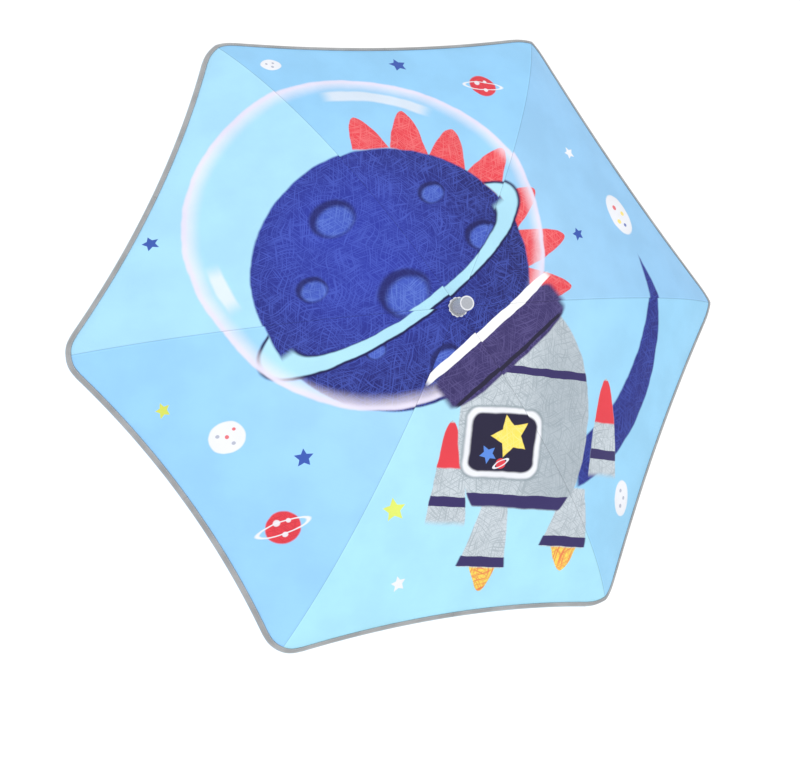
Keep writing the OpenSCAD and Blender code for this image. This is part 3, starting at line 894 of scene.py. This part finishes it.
def frill_material():
    """The rosette's cloth: grey inside a wavering ring round the middle, and pale on its scalloped edge."""
    t = Tree("rosette_cloth")
    at = t.object_at()
    threads = t.noise(at, 1500.0, 2.0)
    tone = t.mix(t.ramp(t.noise(at, 220.0, 3.0), 0.3, 0.7), srgb(204, 208, 216), srgb(234, 236, 240))
    x = t.node("ShaderNodeSeparateXYZ", {0: at})
    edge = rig.box("rosette")[1].x
    folds = t.ramp(t.noise(at, 420.0, 2.0), 0.35, 0.65, (0.84, 0.91))
    rim = t.math("SUBTRACT", t.length((x, x.node.outputs[1])), t.math("MULTIPLY", folds, edge))
    tone = t.mix(t.ramp(rim, -0.3 * MM, 0.3 * MM), srgb(160, 162, 168), tone)
    return t.set(Base_Color=tone, Roughness=0.7, Normal=t.bump(threads, 0.08 * MM, 0.6), Sheen_Weight=0.2)


# ---- Cloth ----

# The blue of each gore's cloth, from the gore between ribs 1 and 2 on, with painted light: each is a little lighter or
# darker as the light falls on it.
LIT_GORE_BLUES = (srgb(148, 200, 240), srgb(148, 206, 246), srgb(170, 222, 250),
         srgb(152, 208, 251), srgb(171, 228, 249), srgb(154, 212, 246))
HUB_R = 9 * MM
ROWS = 62
# The columns of one rib's cloth, as shares of the way from the rib to mid-gore, close together at the seam.
SHARES = [0, 0.008, 0.022, 0.04, 0.062, 0.088, 0.115] + [float(s) for s in np.linspace(0.145, 1, 27)]
CLOTH_T = 0.5 * MM


def cloth_grid():
    """Rows from the hub to the edge across one rib's cloth: signed share, level, and signed distance."""
    shares = np.array([-s for s in SHARES[:0:-1]] + SHARES)
    edge = np.array([edge_level(abs(s)) for s in shares])
    rows = np.linspace(0, 1, ROWS)[:, None]
    level = HUB_R + (edge[None, :] - HUB_R) * rows
    share = np.broadcast_to(shares[None, :], level.shape)
    return share, level, share * level / 2


def cloth_point(k, share, level):
    """Place of the open cloth: straight between the ribs, a little slack between them."""
    side = np.sign(share) + (share == 0)
    beta = rib_angle(k) + side * HALF_GORE
    x = level * math.cos(HALF_GORE)
    y = -side * level * math.sin(HALF_GORE) * (1 - np.abs(share))
    slack = 1.6 * MM * np.sin(np.pi * np.clip(level / REACH, 0, 1)) * smooth(np.abs(share) * 1.3)
    z = CLOTH_TOP - rib_fall(level) - slack
    soften = np.exp(-((share * level / 2) / (2.2 * MM)) ** 2)
    z = z - 0.45 * MM * soften * np.clip(level / REACH, 0, 1)
    return np.stack([x * np.cos(beta) - y * np.sin(beta), x * np.sin(beta) + y * np.cos(beta), z], -1)


def normals_of(grid):
    a = np.gradient(grid, axis=0)
    b = np.gradient(grid, axis=1)
    n = np.cross(a, b)
    n /= np.linalg.norm(n, axis=-1)[..., None]
    return n * np.sign(n[..., 2:3])


def gore_shift(k, side):
    """Each gore is printed and cut on its own, so the picture is a little off from one to the next."""
    gore = (k - 1 + (side > 0)) % 6
    return 0.0035 * np.array([math.cos(2.4 * gore), math.sin(3.1 * gore + 1)])


def canopy(k, material):
    """The cloth round rib k, from mid-gore to mid-gore, as one thin closed sheet."""
    share, level, along = cloth_grid()
    mid = cloth_point(k, share, level)
    normal = normals_of(mid)
    rows, cols = level.shape
    layers = [mid + normal * CLOTH_T / 2, mid - normal * CLOTH_T / 2]
    points = np.concatenate([g.reshape(-1, 3) for g in layers])
    count = rows * cols
    top = grid_faces(rows, cols)
    low = [(d + count, c + count, b + count, a + count) for a, b, c, d in top]
    loop = (list(range(cols)) + [i * cols + cols - 1 for i in range(1, rows)]
            + [(rows - 1) * cols + j for j in range(cols - 2, -1, -1)]
            + [i * cols for i in range(rows - 2, 0, -1)])
    rim = [(loop[i], loop[i] + count, loop[(i + 1) % len(loop)] + count, loop[(i + 1) % len(loop)])
           for i in range(len(loop))]
    faces = top + low + rim
    plan = mid[..., :2].reshape(-1, 2) / REACH
    flat = np.stack([along, level], -1).reshape(-1, 2)
    centre = len(SHARES) - 1
    plan_uv, cloth_uv = [], []
    for f in faces:
        column = [v % count % cols for v in f]
        side = 1 if sum(column) / len(column) > centre else -1
        shift = gore_shift(k, side)
        plan_uv += [plan[v % count] + shift for v in f]
        cloth_uv += [flat[v % count] for v in f]
    obj = mesh_object(f"canopy_cloth_{k}", points, faces, {"plan": plan_uv, "cloth": cloth_uv})
    sides = [(k - 1 + (f[0] % cols + f[2] % cols > 2 * centre)) % 6 - 1 for f in top]
    sides = sides + sides + [(k - 1 + (f[0] % cols > centre)) % 6 - 1 for f in rim]
    # Each face takes its gore's blue, lit or shaded by painted light.
    lit_blue = obj.data.attributes.new("lit_blue", "FLOAT_VECTOR", "FACE")
    lit_blue.data.foreach_set("vector", np.array([LIT_GORE_BLUES[g] for g in sides], np.float32).ravel())
    under = obj.data.attributes.new("inside", "FLOAT", "FACE")
    under.data.foreach_set("value", [0.0] * len(top) + [1.0] * len(low) + [0.0] * len(rim))
    edges = {frozenset(pair) for i in range(len(loop))
             for pair in ((loop[i - 1], loop[i]), (loop[i - 1] + count, loop[i] + count))}
    sharp = obj.data.attributes.new("sharp_edge", "BOOLEAN", "EDGE")
    sharp.data.foreach_set("value", [frozenset(e.vertices) in edges for e in obj.data.edges])
    obj.data.materials.append(material)
    lifts = np.concatenate([np.full(count, CLOTH_T / 2), np.full(count, -CLOTH_T / 2)])
    closed = rolled(k, np.tile(level.ravel(), 2), np.tile(along.ravel(), 2), lifts)
    bend_with_rib(obj, k, closed)
    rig.replaces(obj, f"canopy_inner_{k}", f"canopy_outer_{k}")
    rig.slot(obj, "canopy_cloth")
    return obj


BEND_REACH = 30 * MM        # the cloth bends from this far before the elbow to this far past it


def rib_spot(k, r):
    """A point on rib k's curve when open."""
    return Vector((r * math.cos(rib_angle(k)), r * math.sin(rib_angle(k)), PIVOT.z - float(rib_fall(r))))


def bend_with_rib(obj, k, closed):
    """obj bends from rib k to its rod, and its points end at closed when the frame is folded."""
    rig.blend(obj, f"rib_{k}", f"rod_{k}",
             start=rib_spot(k, ELBOW.x - BEND_REACH), end=rib_spot(k, ELBOW.x + BEND_REACH))
    weight = np.zeros(len(obj.data.vertices), np.float32)
    obj.data.attributes["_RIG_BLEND"].data.foreach_get("value", weight)
    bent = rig._bend(points_of(obj), CLOSED_RIB[k], CLOSED_ROD[k], weight.astype(float))
    fold_shift(obj, k, closed - bent)


# The binding's section: how far in from the edge, and how far above the cloth, in millimetres.
TAPE = ((6.0, 0.40), (5.7, 1.40), (4.8, 2.40), (3.6, 3.00), (2.4, 3.10), (1.2, 2.60), (0.35, 1.40),
        (0.0, 0.0), (0.35, -0.80), (1.2, -1.40), (2.4, -1.70), (3.6, -1.70), (4.8, -1.40), (5.7, -0.90),
        (6.0, -0.40))
CLOSED_TAPE = 0.25          # the tape is pressed to this share of its thickness in the roll


def binding(k, material):
    """The tape folded over the edge of one rib's cloth: its section is inset from the edge and lift."""
    dense = [float(s) for s in np.linspace(0, 1, 120) ** 1.35]
    shares = np.array([-s for s in dense[:0:-1]] + dense)
    edge = np.array([edge_level(abs(s)) for s in shares])
    line = cloth_point(k, shares, edge)
    flat = line[:, :2]
    along = np.gradient(flat, axis=0)
    step = np.linalg.norm(np.diff(line, axis=0), axis=1)
    run = np.concatenate([[0], np.cumsum(step)])
    along /= np.linalg.norm(along, axis=1)[:, None]
    inward = np.stack([-along[:, 1], along[:, 0]], -1)
    rib_dir = np.array([math.cos(rib_angle(k)), math.sin(rib_angle(k))])
    across = np.array([-rib_dir[1], rib_dir[0]])
    gore_dir = {s: np.array([math.cos(rib_angle(k) + s * HALF_GORE), math.sin(rib_angle(k) + s * HALF_GORE)])
                for s in (-1, 1)}
    points, closed, uvs = [], [], []
    for inset, lift in TAPE:
        at = flat + inward * inset * MM
        side = np.where(at @ across >= 0, 1, -1)
        x = np.where(side > 0, at @ gore_dir[1], at @ gore_dir[-1])
        level = x / math.cos(HALF_GORE)
        polar = np.arctan2(at @ across, at @ rib_dir)
        share = side * (1 - np.tan(HALF_GORE - np.abs(polar)) / math.tan(HALF_GORE))
        share = np.clip(share, -1, 1)
        mid = cloth_point(k, share, level)
        mid[:, :2] = at
        pucker = 0.08 * MM * np.sin(run / (2.1 * MM)) * inset / 6
        mid[:, 2] += lift * MM + pucker
        points.append(mid)
        closed.append(rolled(k, level, share * level / 2, np.full(len(level), lift * MM * CLOSED_TAPE)))
        uvs.append(np.stack([run, np.full(len(run), inset * MM)], -1))
    rows, cols = len(TAPE), len(shares)
    faces = grid_faces(rows, cols)
    faces += [(j, (rows - 1) * cols + j, (rows - 1) * cols + j + 1, j + 1) for j in range(cols - 1)]
    caps = [[i * cols for i in range(rows)], [i * cols + cols - 1 for i in range(rows - 1, -1, -1)]]
    faces += [tuple(c) for c in caps]
    flat_uv = np.concatenate(uvs)
    obj = mesh_object(f"edge_tape_{k}", np.concatenate(points), [f[::-1] for f in faces],
                      {"cloth": [flat_uv[v] for f in faces for v in f[::-1]]})
    obj.data.materials.append(material)
    bend_with_rib(obj, k, np.concatenate(closed))
    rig.replaces(obj, f"edge_binding_{k}")
    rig.slot(obj, "binding_tape")
    return obj


def straighten(obj, k):
    """A rod or a corner tip pulls straight as the umbrella closes, as springy fibreglass does."""
    points = points_of(obj)
    turn = -rib_angle(k)
    x = points[:, 0] * math.cos(turn) - points[:, 1] * math.sin(turn)
    y = points[:, 0] * math.sin(turn) + points[:, 1] * math.cos(turn)
    drop = ROD_ARC * math.cos(JOINT_SLOPE)
    centre_x = ELBOW.x - ROD_ARC * math.sin(JOINT_SLOPE)
    centre_z = PIVOT.z - ELBOW_FALL - drop
    off = np.hypot(x - centre_x, points[:, 2] - centre_z) - ROD_ARC
    slope = np.arctan2(x - centre_x, points[:, 2] - centre_z)
    share = (slope - JOINT_SLOPE) / (TIP_SLOPE - JOINT_SLOPE)
    elbow = CLOSED_RIB[1] @ ELBOW
    tip = CLOSED_ROD[1] @ Vector((REACH, 0, PIVOT.z - float(rib_fall(REACH))))
    chord = np.array(tip - elbow)
    out = np.array([-chord[2], 0, chord[0]]) / np.linalg.norm(chord)
    run = share * np.linalg.norm(chord)
    bow = ELBOW_ROOM * (1 - np.exp(-(run / (7 * MM)) ** 2)) * np.exp(-(run / (60 * MM)) ** 2)
    target = np.array(elbow)[None, :] + share[:, None] * chord + (off + bow)[:, None] * out
    target[:, 1] = y
    about = np.array(Matrix.Rotation(rib_angle(k), 3, "Z"))
    local = moved_points(CLOSED_ROD[k].inverted(), target @ about.T)
    fold_shift(obj, k, local - points)


# ---- Hard pieces ----


def cap():
    """The grey cap: a tube over the shaft's end, with a lip round a sunk disc that has a small boss."""
    low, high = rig.box("ferrule_cap")
    r = high.x
    bore, depth = 4.1 * MM, 16 * MM
    outside = fillet([(bore, low.z), (r - 1.2 * MM, low.z), (r, low.z + 1.2 * MM), (r, high.z),
                      (r - 1.6 * MM, high.z), (r - 2.0 * MM, high.z - 0.8 * MM), (0.0, high.z - 0.9 * MM)],
                     [0, 0.5 * MM, 0.8 * MM, 0.6 * MM, 0.35 * MM, 0.3 * MM, 0])
    boss = [(2.6 * MM, high.z - 0.9 * MM), (2.2 * MM, high.z - 0.55 * MM), (0.0, high.z - 0.5 * MM)]
    obj = lathe("cap_shell", [(0.0, low.z + depth), (bore, low.z + depth), *outside[:-1], *boss])
    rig.ride(obj, "shaft")
    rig.replaces(obj, "ferrule_cap")
    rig.slot(obj, "cap_plastic")
    return obj


def frill():
    """The gathered cloth rosette: petals with a soft wave, on a thin closed sheet."""
    low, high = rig.box("rosette")
    petals, turns, rings = 12, 192, 12
    inner, outer = 4.1 * MM, high.x
    base = (low.z + high.z) / 2 - 0.3 * MM
    points = []
    for layer in (0.3 * MM, -0.3 * MM):
        for i in range(rings):
            s = i / (rings - 1)
            for j in range(turns):
                a = 2 * math.pi * j / turns
                scallop = 1 - 0.085 * (1 - abs(math.sin(petals * a / 2))) * s
                r = inner + (outer * scallop - inner) * s
                wave = 0.42 * MM * math.sin(petals * a) * s + 0.7 * MM * (1 - s) ** 2
                points.append((r * math.cos(a), r * math.sin(a), base + wave + layer))
    count = rings * turns
    top = grid_faces(rings, turns, wrap=True)
    low_faces = [(d + count, c + count, b + count, a + count) for a, b, c, d in top]
    rim = [(j, j + count, (j + 1) % turns + count, (j + 1) % turns) for j in range(turns)]
    far = (rings - 1) * turns
    rim += [(far + (j + 1) % turns, far + (j + 1) % turns + count, far + j + count, far + j)
            for j in range(turns)]
    obj = mesh_object("rosette_frill", points, [f[::-1] for f in rim] + top + low_faces)
    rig.ride(obj, "shaft")
    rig.replaces(obj, "rosette")
    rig.slot(obj, "rosette_cloth")
    return obj


def grip():
    """The J handle: a swelling grip, two beads under the collar, the hook and its round end."""
    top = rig.box("handle")[1].z
    r, hook = 10.5 * MM, 31 * MM
    bend_z, end_rise = -50 * MM, 12 * MM
    dome_turns = np.linspace(0, math.pi / 2, 12)[1:]
    straight = [(0, z) for z in np.linspace(top, bend_z, 60)]
    turn = [(hook - hook * math.cos(a), bend_z - hook * math.sin(a)) for a in np.linspace(0, math.pi, 48)[1:]]
    rise = [(2 * hook, bend_z + z) for z in np.linspace(0, end_rise, 8)[1:]]
    dome = [(2 * hook, bend_z + end_rise + r * math.sin(a)) for a in dome_turns]
    radii = []
    for _, z in straight:
        swell = -0.55 * MM * math.sin(math.pi * np.clip((z + 46 * MM) / (84 * MM), 0, 1)) ** 2
        beads = sum(1.1 * MM * math.exp(-((z - at * MM) / (1.5 * MM)) ** 2) for at in (41, 46))
        grooves = sum(-0.35 * MM * math.exp(-((z - at * MM) / (1.3 * MM)) ** 2) for at in (-22, -8, 6, 20))
        radii.append(r + swell + beads + grooves)
    radii += [r] * (len(turn) + len(rise))
    radii += [max(r * math.cos(a), 0.02 * MM) for a in dome_turns]
    # Four rings close the top: three in its plane, and one just under it.
    lid = [(0, top), (0, top), (0, top), (0, top - 0.1 * MM)]
    radii = [0.02 * MM, 4.5 * MM, r - 1.2 * MM, r - 0.3 * MM] + radii
    path = [(x, 0, z) for x, z in lid + straight + turn + rise + dome]
    obj = sweep("handle_grip", path, radii, len(lid + straight))
    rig.ride(obj, "shaft")
    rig.replaces(obj, "handle")
    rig.slot(obj, "handle_plastic")
    return obj


# ---- The whole object ----


def dress(material, *names):
    for name in names:
        slots = frame["nodes"][name].data.materials
        slots.clear()
        slots.append(material)


FLAT = (0.43, 0.475)        # the width and length that one rib's cloth is cut to


def gore_area():
    """Flat area of one rib's cloth, from the open grid."""
    grid = cloth_point(1, *cloth_grid()[:2])
    a = grid[1:, :-1] - grid[:-1, :-1]
    b = grid[:-1, 1:] - grid[:-1, :-1]
    return float(np.linalg.norm(np.cross(a, b), axis=-1).sum())


def build():
    printed = cloth_material("canopy_cloth")
    tape = binding_material()
    for k in RIBS:
        cloth = canopy(k, printed)
        edge = binding(k, tape)
        straighten(frame["nodes"][f"rib_rod_{k}"], k)
        straighten(frame["nodes"][f"corner_tip_{k}"], k)
        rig.sheet(cloth, flat=FLAT, held="stretched", area=gore_area(), with_pieces=[edge],
                 rests_on=[f"rib_{k}", f"rib_rod_{k}", f"corner_tip_{k}", "crown"])
    cap_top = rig.box("ferrule_cap")[1].z
    # Above cap_top the cap's plastic takes a painted highlight.
    cap().data.materials.append(plastic("cap_plastic", srgb(172, 176, 184), 0.38, lip=cap_top))
    frill().data.materials.append(frill_material())
    grip().data.materials.append(plastic("handle_plastic", srgb(46, 66, 158), 0.28, 700.0, 0.02))
    bright = steel("shaft_steel", (0.74, 0.75, 0.78), 0.24)
    satin = steel("frame_steel", (0.60, 0.61, 0.64), 0.36, (1, 1, 1), 900.0)
    spring = steel("spring_steel", (0.66, 0.67, 0.70), 0.30, (1, 1, 0.2), 1500.0)
    white = plastic("white_plastic", srgb(232, 235, 238), 0.42)
    rods = fibreglass()
    dress(bright, "shaft", "handle_collar")
    dress(spring, "upper_catch", "lower_catch")
    dress(white, "crown", "runner", *[f"corner_tip_{k}" for k in RIBS])
    dress(satin, "crown_wire", "runner_wire",
          *[f"{n}_{k}" for n in ("rib", "stretcher", "joint_rivet") for k in RIBS])
    dress(rods, *[f"rib_rod_{k}" for k in RIBS])


# ---- Camera, floor and light ----

VIEW_TILT = math.radians(20.1)
VIEW_SIDE = math.radians(24.4)
VIEW_ROLL = math.radians(5.85)
VIEW_AWAY = 4.081 * REACH
VIEW_SHIFT = (-0.0169, -0.0702)
LENS = 62.4


def camera():
    """Above the canopy and a little to one side, looking at the middle of the rim's plane."""
    n = Vector((math.sin(VIEW_TILT) * math.cos(VIEW_SIDE), math.sin(VIEW_TILT) * math.sin(VIEW_SIDE),
                math.cos(VIEW_TILT)))
    tip = Vector((0, 0, 1)).rotation_difference(n).to_matrix()
    turn = (tip @ Matrix.Rotation(VIEW_ROLL, 3, "Z")).transposed()
    data = bpy.data.cameras.new("camera")
    data.lens = LENS
    data.sensor_width = 36
    data.shift_x, data.shift_y = VIEW_SHIFT
    data.clip_end = 60
    obj = bpy.data.objects.new("camera", data)
    bpy.context.scene.collection.objects.link(obj)
    rim = Vector((0, 0, CLOTH_TOP - float(rib_fall(REACH))))
    obj.matrix_world = Matrix.Translation(rim + turn @ Vector((0, 0, VIEW_AWAY))) @ turn.to_4x4()
    bpy.context.scene.camera = obj


def area_light(name, at, size, power, aim=(0, 0, 0.4)):
    data = bpy.data.lights.new(name, "AREA")
    data.size = size
    data.energy = power
    obj = bpy.data.objects.new(name, data)
    bpy.context.scene.collection.objects.link(obj)
    obj.location = at
    obj.rotation_mode = "QUATERNION"
    obj.rotation_quaternion = (Vector(at) - Vector(aim)).to_track_quat("Z", "Y")


def studio():
    """A pale paper floor well below the umbrella, a white surround and two soft lights."""
    half, z = 14, -1.6
    floor = mesh_object("floor", [(-half, -half, z), (half, -half, z), (half, half, z), (-half, half, z)],
                        [(0, 1, 2, 3)], solid=False)
    t = Tree("floor_paper")
    t.set(Base_Color=(0.9, 0.9, 0.9), Roughness=0.9, Emission_Color=(1, 1, 1), Emission_Strength=0.15)
    floor.data.materials.append(t.material)
    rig.stage(floor)
    world = bpy.data.worlds.new("studio")
    bpy.context.scene.world = world
    world.use_nodes = True
    world.node_tree.nodes["Background"].inputs["Color"].default_value = (1, 1, 1, 1)
    world.node_tree.nodes["Background"].inputs["Strength"].default_value = 1.0
    area_light("key", (-1.6, -0.8, 3.0), 1.8, 16)
    area_light("fill", (1.8, 1.4, 2.4), 2.2, 4)
    bpy.context.scene.view_settings.view_transform = "Standard"


build()
camera()
studio()

SEEN_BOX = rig.bounds()
with open("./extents.json", "w") as size_file:
    json.dump({"cad": [list(c) for c in CAD_BOX], "seen": [list(c) for c in SEEN_BOX]}, size_file)
